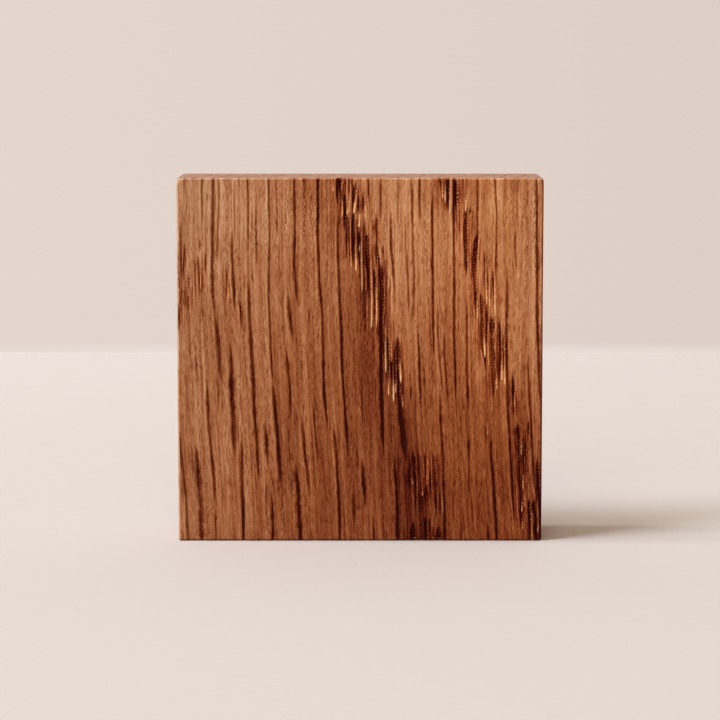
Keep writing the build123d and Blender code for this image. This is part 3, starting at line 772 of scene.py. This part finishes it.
class Nodes:
    # short ways to place and wire the nodes of one material or group
    def __init__(self, tree):
        self.tree = tree
        self.count = 0

    def wire(self, node, values):
        for name, value in values.items():
            if isinstance(value, bpy.types.NodeSocket):
                self.tree.links.new(value, node.inputs[name])
            else:
                node.inputs[name].default_value = value
        return node

    def add(self, kind, inputs=None, **settings):
        node = self.tree.nodes.new(kind)
        self.count += 1
        node.location = (200 * (self.count % 8), -220 * (self.count // 8))
        for name, value in settings.items():
            setattr(node, name, value)
        return self.wire(node, inputs or {})

    def use(self, name, **values):
        return self.add("ShaderNodeGroup", values, node_tree=groups[name]).outputs

    def math(self, operation, *values, clamp=False):
        node = self.add("ShaderNodeMath", dict(enumerate(values)), operation=operation, use_clamp=clamp)
        return node.outputs[0]

    def times(self, first, second):
        return self.math("MULTIPLY", first, second)

    def plus(self, base, value, weight):
        return self.math("MULTIPLY_ADD", value, weight, base)

    def total(self, base, values, weights):
        # the base with each value added by its weight
        for name, weight in weights.items():
            base = self.plus(base, values[name], weight)
        return base

    def spread(self, value, low, high, newLow=0.0, newHigh=1.0):
        values = {"Value": value, "From Min": low, "From Max": high, "To Min": newLow, "To Max": newHigh}
        return self.add("ShaderNodeMapRange", values, clamp=True).outputs[0]

    def mixColour(self, share, first, second, blend="MIX"):
        values = {0: share, 6: first, 7: second}
        return self.add("ShaderNodeMix", values, data_type="RGBA", blend_type=blend).outputs[2]

    def mask(self, name):
        return self.add("ShaderNodeAttribute", attribute_name=name).outputs["Fac"]

    def grain(self):
        # the point in the log: across the rings, through the block, along the grain
        place = self.add("ShaderNodeAttribute", attribute_name="grain").outputs["Vector"]
        return self.add("ShaderNodeSeparateXYZ", {0: place}).outputs

    def point(self, *parts):
        return self.add("ShaderNodeCombineXYZ", dict(enumerate(parts))).outputs[0]

    def noise(self, vector, detail, roughness):
        values = {"Vector": vector, "Scale": 1.0, "Detail": detail, "Roughness": roughness}
        return self.add("ShaderNodeTexNoise", values).outputs["Fac"]

    def pattern(self, log, name, run=None):
        cells, along, detail, roughness, *limits = grainPatterns[name]
        if run is not None:
            along = self.times(run, along)
        place = self.point(self.times(log[0], cells), self.times(log[1], cells), self.times(log[2], along))
        noise = self.noise(place, detail, roughness)
        return self.spread(noise, *limits) if limits else noise


# Noise that runs with the grain: cells to a millimetre across and along it,
# detail, roughness, the two levels of the noise that it is stretched between,
# and what they become where that isn't 0 and 1
grainPatterns = {
    "Streaks": (0.55, 0.012, 5.0, 0.72, 0.3, 0.7, -1, 1),
    "Fine": (2.7, 0.4, 2.0, 0.8, 0.3, 0.7, -1, 1),
    "Mottle": (0.9, 0.2, 3.0, 0.6, 0.3, 0.7, -1, 1),
    "vesselDashes": (3.4, 1.0, 1.0, 0.4),
    "vesselRows": (0.8, 0.012, 2.0, 0.5),
    "grit": (3.0, 2.2, 1.0, 0.6, 0.3, 0.7, -1, 1),
    "nickPatches": (0.4, 0.05, 2.0, 0.5, 0.4, 0.62, 0.1, 1),
    "strands": (1.3, 0.03, 3.0, 0.6, 0.55, 0.68),
    "dashColumns": (0.5, 0.014, 2.0, 0.5, 0.48, 0.6),
    "ribs": (1.5, 0.05, 2.0, 0.7, 0.4, 0.6, -1, 1),
    "toothWander": (0.7, 0.3, 1.0, 0.5),
    "toothPatches": (0.9, 0.16, 2.0, 0.6, 0.42, 0.56, 0.15, 1),
    "furrowSides": (1.7, 0.8, 2.0, 0.6, 0.3, 0.7, -0.3, 0.3),
    "splinterGaps": (1.6, 1.5, 1.0, 0.5, 0.56, 0.46),
}


def newGroup(name, inputs, outputs):
    group = bpy.data.node_groups.new(name, "ShaderNodeTree")
    for label, value in inputs.items():
        socket = group.interface.new_socket(label, in_out="INPUT", socket_type="NodeSocketFloat")
        socket.default_value = value
    for label in outputs:
        kind = "NodeSocketColor" if label == "Color" else "NodeSocketFloat"
        group.interface.new_socket(label, in_out="OUTPUT", socket_type=kind)
    nodes = Nodes(group)
    return group, nodes, nodes.add("NodeGroupInput").outputs, nodes.add("NodeGroupOutput")


def fibreGroup():
    # the figure of the wood: long streaks of every width, fine fibres, mottling
    labels = ("Streaks", "Fine", "Mottle")
    group, nodes, given, result = newGroup("fibres", {"Run": 1.0}, labels)
    log = nodes.grain()
    nodes.wire(result, {label: nodes.pattern(log, label, given["Run"]) for label in labels})
    return group


def vesselGroup():
    # open vessels: short dark dashes in rows along the grain, dots across it
    group, nodes, given, result = newGroup("vessels", {"Along": 0.5, "Cover": 0.5}, ("Mask",))
    log = nodes.grain()
    covered = nodes.times(given["Cover"], nodes.pattern(log, "vesselRows"))
    limit = nodes.math("SUBTRACT", 0.9, covered)
    above = nodes.math("SUBTRACT", nodes.pattern(log, "vesselDashes", given["Along"]), limit)
    nodes.wire(result, {"Mask": nodes.spread(above, 0.0, 0.05)})
    return group


def nickGroup():
    # short dark nicks that lean to the right as they climb, each with a painted highlight on its right flank
    sizes = {"Across": 1.5, "Along": 0.8, "Lean": 0.35}
    group, nodes, given, result = newGroup("nicks", sizes, ("Dark", "Light"))
    log = nodes.grain()
    straight = nodes.math("SUBTRACT", log[0], nodes.times(log[2], given["Lean"]))
    across, depth = nodes.times(straight, given["Across"]), nodes.times(log[1], given["Across"])
    cell = nodes.point(across, depth, nodes.times(log[2], given["Along"]))
    cells = nodes.add("ShaderNodeTexVoronoi", {"Vector": cell, "Scale": 1.0}).outputs
    away = nodes.add("ShaderNodeVectorMath", {0: cell, 1: cells["Position"]}, operation="SUBTRACT")
    flank = {0: away.outputs[0], 1: (0.4, 0, 0.1)}
    fromFlank = nodes.add("ShaderNodeVectorMath", flank, operation="DISTANCE").outputs["Value"]
    dark = nodes.spread(cells["Distance"], 0.55, 0.3)
    nodes.wire(result, {"Dark": dark, "Light": nodes.spread(fromFlank, 0.5, 0.25)})
    return group


oakColours = {
    "byTone": {
        0.0: (56, 8, 0),
        0.13: (91, 26, 6),
        0.26: (119, 54, 26),
        0.39: (146, 81, 44),
        0.53: (174, 108, 67),
        0.66: (196, 136, 93),
        0.8: (216, 163, 119),
        1.0: (243, 208, 172),
    },
    # the colour is multiplied by these, where 255 leaves it alone
    "tints": {"Grey": (244, 257, 273), "Gold": (259, 253, 239), "Red": (259, 220, 208)},
    # the lifted splinters from root to tip, pale with a painted glint
    "splinterRoot": (234, 156, 94),
    "splinterTip": (255, 218, 164),
}


def oakColourGroup():
    # colour of the oak from how light it is
    usual = {"Tone": 0.8, "Grey": 0.0, "Gold": 0.0, "Red": 0.0, "Pale": 0.0}
    group, nodes, given, result = newGroup("oakColour", usual, ("Color",))
    ramp = nodes.add("ShaderNodeValToRGB", {"Fac": given["Tone"]})
    elements = ramp.color_ramp.elements
    while len(elements) < len(oakColours["byTone"]):
        elements.new(0.5)
    for element, (position, value) in zip(elements, oakColours["byTone"].items()):
        element.position = position
        element.color = colour(*value)
    tinted = ramp.outputs["Color"]
    for label, tint in oakColours["tints"].items():
        fully = nodes.mixColour(1.0, tinted, colour(*tint), "MULTIPLY")
        tinted = nodes.mixColour(given[label], tinted, fully)
    # a pale sliver's colour holds a painted glint as well as its paleness
    root, tip = colour(*oakColours["splinterRoot"]), colour(*oakColours["splinterTip"])
    lifted = nodes.mixColour(given["Pale"], root, tip)
    share = nodes.math("MULTIPLY", given["Pale"], 1.6, clamp=True)
    nodes.wire(result, {"Color": nodes.mixColour(share, tinted, lifted)})
    return group


oakGloss = 0.09


def newMaterial(name, roughness, specular=oakGloss):
    material = bpy.data.materials.new(name)
    material.use_nodes = True
    nodes = Nodes(material.node_tree)
    surface = material.node_tree.nodes["Principled BSDF"]
    nodes.wire(surface, {"Roughness": roughness, "Specular IOR Level": specular})
    return material, nodes, surface


def finishSurface(nodes, surface, shade, height, look):
    strength, distance = look["bump"]
    bump = nodes.add("ShaderNodeBump", {"Height": height, "Strength": strength, "Distance": distance})
    nodes.wire(surface, {"Base Color": shade, "Normal": bump.outputs[0]})


longGrain = {
    "roughness": 0.6,
    # how much lighter or darker each feature makes the wood
    # the light edges of the furrows and the lit slot walls are painted highlights, and the furrows, thin
    # lines and slots are darkened partly by painted shade
    "tone": {
        "streaks": 0.165, "fine": 0.08, "mottle": 0.06, "grit": 0.035, "chips": 0.11, "strands": -0.14,
        "vessels": -0.18, "dashes": -0.13, "ribs": 0.3, "beads": 0.2, "rough": -0.1, "ticks": 0.6,
        "paintedRim": 0.11, "thinLines": -0.9, "furrows": -0.61, "slots": -0.49, "slotSideHighlight": 0.3,
    },
    # how far each stands out, or is sunk
    "relief": {
        "streaks": 0.2, "fine": 0.08, "mottle": 0.25, "vessels": -0.5, "ticks": 0.9, "ribs": 0.5,
        "beads": 0.5, "chips": 0.3,
    },
    "bump": (0.8, 0.0002),  # strength, and depth in metres
}


def figureFeatures(nodes, log):
    # what shows all over the wood
    fibres = nodes.use("fibres", Run=1.0)
    # small nicks here and there, each with its painted highlight
    nicks = nodes.use("nicks", Across=1.7, Along=0.9, Lean=0.3)
    chips = nodes.math("SUBTRACT", nodes.times(nicks["Light"], 0.6), nicks["Dark"])
    # dashes in columns, each climbing to the right
    dashAcross = nodes.plus(nodes.times(log[2], -0.6), log[0], 2.0)
    dashAlong = nodes.plus(nodes.times(log[0], 0.3), log[2], 0.62)
    dashes = nodes.spread(nodes.noise(nodes.point(dashAcross, dashAlong, log[1]), 1.0, 0.5), 0.57, 0.68)
    # rows of ticks that climb to the right, dark with a painted highlight on one flank
    rowTicks = nodes.use("nicks", Across=1.8, Along=1.15, Lean=0.45)
    ticks = nodes.plus(rowTicks["Light"], rowTicks["Dark"], -0.65)
    features = {
        "streaks": fibres["Streaks"],
        "fine": fibres["Fine"],
        "mottle": fibres["Mottle"],
        "grit": nodes.pattern(log, "grit"),
        "chips": nodes.times(chips, nodes.pattern(log, "nickPatches")),
        "strands": nodes.pattern(log, "strands"),
        "vessels": nodes.use("vessels", Along=0.28, Cover=0.5)["Mask"],
        "dashes": nodes.times(dashes, nodes.pattern(log, "dashColumns")),
        "ticks": nodes.times(ticks, nodes.mask("ticks")),
        "paintedRim": nodes.mask("paintedRim"),
    }
    return features, chips, nicks["Light"]


def tornFeatures(nodes, log, speck):
    # torn places have ribs between the slots, and beads along them
    rough = nodes.mask("rough")
    ribs = nodes.pattern(log, "ribs")
    beads = nodes.use("nicks", Across=1.9, Along=1.15, Lean=0.45)
    beading = nodes.math("SUBTRACT", beads["Light"], beads["Dark"])
    # a row of teeth, some of them missing, that climb to the right
    wander = nodes.times(nodes.pattern(log, "toothWander"), 2.0)
    lean = nodes.plus(nodes.times(log[2], 1.15), log[0], -1.1)
    tooth = nodes.math("FRACT", nodes.math("ADD", lean, wander))
    tooth = nodes.times(nodes.spread(tooth, 0.4, 0.62), nodes.spread(tooth, 1.0, 0.85))
    tooth = nodes.times(tooth, nodes.pattern(log, "toothPatches"))
    # the slots are toothed at the right, and beads stand in them
    side = nodes.mask("side")
    right = nodes.math("MAXIMUM", side, 0.0)
    inside = nodes.math("SUBTRACT", nodes.mask("slot"), nodes.times(tooth, nodes.plus(0.08, right, 0.35)))
    # each hole is dark partly in the wood and partly by painted shade in its depth
    hole = nodes.times(nodes.spread(inside, -0.05, 0.1), nodes.mask("torn"))
    speckled = nodes.plus(0.95, ribs, 0.12)
    speckled = nodes.plus(speckled, nodes.times(tooth, nodes.spread(side, -0.3, 0.3)), -1.15)
    # the painted highlights of the nicks lighten the holes in spots
    speckled = nodes.plus(speckled, speck, -0.4)
    # a painted highlight on the right wall of each slot, where the light falls on it
    lit = nodes.times(nodes.spread(inside, -0.5, -0.1), nodes.spread(inside, 0.1, -0.1))
    lit = nodes.times(nodes.times(lit, right), nodes.math("ADD", tooth, 0.15))
    return {
        "ribs": nodes.times(ribs, rough),
        "beads": nodes.times(beading, rough),
        "rough": rough,
        "slots": nodes.times(hole, speckled),
        "slotSideHighlight": lit,
    }


def furrowFeatures(nodes, log, chips):
    dark = nodes.mask("dark")
    thinLines = nodes.times(nodes.math("SUBTRACT", 0.6, dark), nodes.mask("furrow"))
    # the furrows are ragged along their sides
    away = nodes.math("ADD", nodes.mask("groove"), nodes.pattern(log, "furrowSides"))
    square = nodes.times(away, away)
    core = nodes.math("EXPONENT", nodes.times(nodes.times(square, square), -1.4))
    # the core is dark partly in the wood and partly by painted shade in the groove, and the skirt is a soft
    # painted shadow beside it
    skirt = nodes.math("EXPONENT", nodes.times(square, -0.25))
    furrow = nodes.plus(nodes.times(skirt, 0.09), core, 0.91)
    furrow = nodes.times(nodes.times(furrow, dark), nodes.plus(0.98, chips, 0.15))
    return {"thinLines": nodes.math("MAXIMUM", thinLines, 0.0), "furrows": furrow}


def brokenPale(nodes, log, pale):
    # the paler a splinter is, the fewer gaps it has
    gaps = nodes.times(nodes.pattern(log, "splinterGaps"), nodes.math("SUBTRACT", 1.0, pale))
    return nodes.times(pale, nodes.math("SUBTRACT", 1.0, gaps))


def longGrainMaterial():
    material, nodes, surface = newMaterial("oakLongGrain", longGrain["roughness"])
    log = nodes.grain()
    features, chips, speck = figureFeatures(nodes, log)
    features |= tornFeatures(nodes, log, speck) | furrowFeatures(nodes, log, chips)
    tone = nodes.total(nodes.mask("tone"), features, longGrain["tone"])
    height = nodes.total(0.0, features, longGrain["relief"])
    # greyer towards the upper left, as a painted sheen, more golden right of the middle
    high = nodes.spread(log[2], 20.0, 100.0, 0.6, 1.0)
    grey = nodes.times(high, nodes.spread(log[0], 38.0, 0.0))
    gold = nodes.times(nodes.spread(log[0], 55.0, 80.0), nodes.spread(log[0], 98.0, 90.0))
    reddened = nodes.times(features["rough"], 0.7)
    pale = nodes.times(nodes.mask("pale"), nodes.spread(nodes.mask("sliver"), -0.1, 0.6))
    pale = brokenPale(nodes, log, pale)
    shade = nodes.use("oakColour", Tone=tone, Grey=grey, Gold=gold, Red=reddened, Pale=pale)["Color"]
    finishSurface(nodes, surface, shade, height, longGrain)
    return material


splinter = {
    "roughness": 0.5,
    "run": 4.0,  # its fibres are this many times shorter
    "tone": {"Mottle": 0.12, "Fine": 0.06},
    "red": 0.5,
    "bump": (0.5, 0.0001),
}


def splinterMaterial():
    material, nodes, surface = newMaterial("oakSplinter", splinter["roughness"])
    fibres = nodes.use("fibres", Run=splinter["run"])
    tone = nodes.total(nodes.mask("tone"), fibres, splinter["tone"])
    pale = brokenPale(nodes, nodes.grain(), nodes.mask("pale"))
    shade = nodes.use("oakColour", Tone=tone, Red=splinter["red"], Pale=pale)["Color"]
    finishSurface(nodes, surface, shade, fibres["Mottle"], splinter)
    return material


endGrain = {
    "roughness": 0.7,
    "lightness": 0.72,
    "tone": {"streaks": 0.08, "fine": 0.05, "vessels": -0.2, "rays": 0.08, "rings": -0.3},
    "greyed": (240, 266, 319),  # the colour is multiplied by this, where 255 leaves it alone
    "bump": (0.5, 0.00015),
}


def endGrainMaterial():
    material, nodes, surface = newMaterial("oakEndGrain", endGrain["roughness"])
    log = nodes.grain()
    fibres = nodes.use("fibres", Run=1.0)
    vessels = nodes.use("vessels", Along=0.3, Cover=0.62)["Mask"]
    rayAt = nodes.point(nodes.times(log[0], 0.08), nodes.times(log[1], 1.9))
    features = {
        "streaks": fibres["Streaks"],
        "fine": fibres["Fine"],
        "vessels": vessels,
        "rays": nodes.spread(nodes.noise(rayAt, 1.0, 0.4), 0.55, 0.7),
        "rings": nodes.mask("furrow"),
    }
    tone = nodes.total(endGrain["lightness"], features, endGrain["tone"])
    shade = nodes.use("oakColour", Tone=tone)["Color"]
    greyed = nodes.mixColour(1.0, shade, colour(*endGrain["greyed"]), "MULTIPLY")
    finishSurface(nodes, surface, greyed, nodes.plus(fibres["Fine"], vessels, -0.7), endGrain)
    return material


stage = {
    "floor": colour(225, 226, 223),
    "wall": colour(218, 217, 217),
    "wallBehind": 462.0,  # from the block's middle
    "wallHeight": 800.0,
    "size": 6000,
}


def buildStage():
    half = stage["size"] / 2
    wall = stage["wallBehind"]
    top = stage["wallHeight"]
    panels = {
        "floor": [(-half, -half, 0), (half, -half, 0), (half, wall, 0), (-half, wall, 0)],
        "wall": [(-half, wall, 0), (half, wall, 0), (half, wall, top), (-half, wall, top)],
    }
    for name, corners in panels.items():
        material, nodes, surface = newMaterial(name, 0.9, 0.1)
        nodes.wire(surface, {"Base Color": stage[name]})
        mesh = bpy.data.meshes.new(name)
        mesh.from_pydata([[each * millimetre for each in corner] for corner in corners], [], [(0, 1, 2, 3)])
        mesh.materials.append(material)
        panel = placeObject(name, mesh)
        # the wall throws light back but doesn't hide the block from behind
        panel.visible_camera = name != "wall"


lamps = {
    # where, width and length, power, and how red, green and blue it is
    "side": {"at": (-1690, 50, 3180), "size": (210, 2400), "power": 26, "tint": (1.0, 0.92, 0.87)},
    "broad": {"at": (-2658, -1354, 4360), "size": (1600, 3200), "power": 154, "tint": (0.955, 1.005, 1.12)},
    "front": {"at": (-900, -5800, 3500), "size": (4200, 3200), "power": 106, "tint": (0.985, 0.85, 0.7)},
}
lampTarget = (0, 0, 50)


def buildLight():
    for name, lamp in lamps.items():
        data = bpy.data.lights.new(name, "AREA")
        data.shape = "RECTANGLE"
        data.size, data.size_y = [each * millimetre for each in lamp["size"]]
        data.energy = lamp["power"]
        data.color = lamp["tint"]
        light = placeObject(name, data)
        light.location = [each * millimetre for each in lamp["at"]]
        x, y, z = np.subtract(lampTarget, lamp["at"])
        light.rotation_euler = (math.atan2(math.hypot(x, y), -z), 0, math.atan2(-x, y))


room = {
    "light": 0.3,
    "tint": (1.03, 0.6, 0.33, 1.0),
    # the room is painted a little darker towards the right, as shade from the lamps at the left
    "seenLeft": colour(228, 214, 205),  # how the room looks behind the wall's place
    "seenRight": colour(222, 207, 198),
    "turn": 0.13,  # sideways run of the view from the one to the other
    "seenLow": colour(233, 222, 216),
    "bend": (-0.1093, -0.1054),  # how far the view falls where the floor turns into the wall
}


def buildRoom():
    # a warm fill from all round, seen by the camera as a pale room
    world = bpy.data.worlds.new("room")
    world.use_nodes = True
    nodes = Nodes(world.node_tree)
    seen = nodes.add("ShaderNodeLightPath").outputs["Is Camera Ray"]
    towards = nodes.add("ShaderNodeTexCoord").outputs["Generated"]
    sideways, _, upwards = nodes.add("ShaderNodeSeparateXYZ", {0: towards}).outputs
    # painted shade: the pale room darkens from left to right
    share = nodes.spread(sideways, -room["turn"], room["turn"])
    pale = nodes.mixColour(share, room["seenLeft"], room["seenRight"])
    pale = nodes.mixColour(nodes.spread(upwards, *room["bend"]), room["seenLow"], pale)
    strength = nodes.spread(seen, 0.0, 1.0, room["light"], 1.0)
    light = {"Color": nodes.mixColour(seen, room["tint"], pale), "Strength": strength}
    nodes.wire(world.node_tree.nodes["Background"], light)
    bpy.context.scene.world = world


view = {
    "distance": 757.0,  # from the show face
    "height": 135.6,
    "pitch": 6.44,  # degrees down from level
    "lens": 139.25,
    "sensor": 36.0,
}


def buildCamera():
    data = bpy.data.cameras.new("camera")
    data.lens = view["lens"]
    data.sensor_width = view["sensor"]
    camera = placeObject("camera", data)
    camera.location = (0, (blockLow[1] - view["distance"]) * millimetre, view["height"] * millimetre)
    camera.rotation_euler = (math.radians(90 - view["pitch"]), 0, 0)
    bpy.context.scene.camera = camera


groups = {
    "fibres": fibreGroup(),
    "vessels": vesselGroup(),
    "nicks": nickGroup(),
    "oakColour": oakColourGroup(),
}
print("node groups:", list(groups))
buildBlock()
buildFibres()
buildStage()
buildLight()
buildRoom()
buildCamera()
bpy.context.scene.view_settings.view_transform = "Standard"
print("stage, light and camera set")
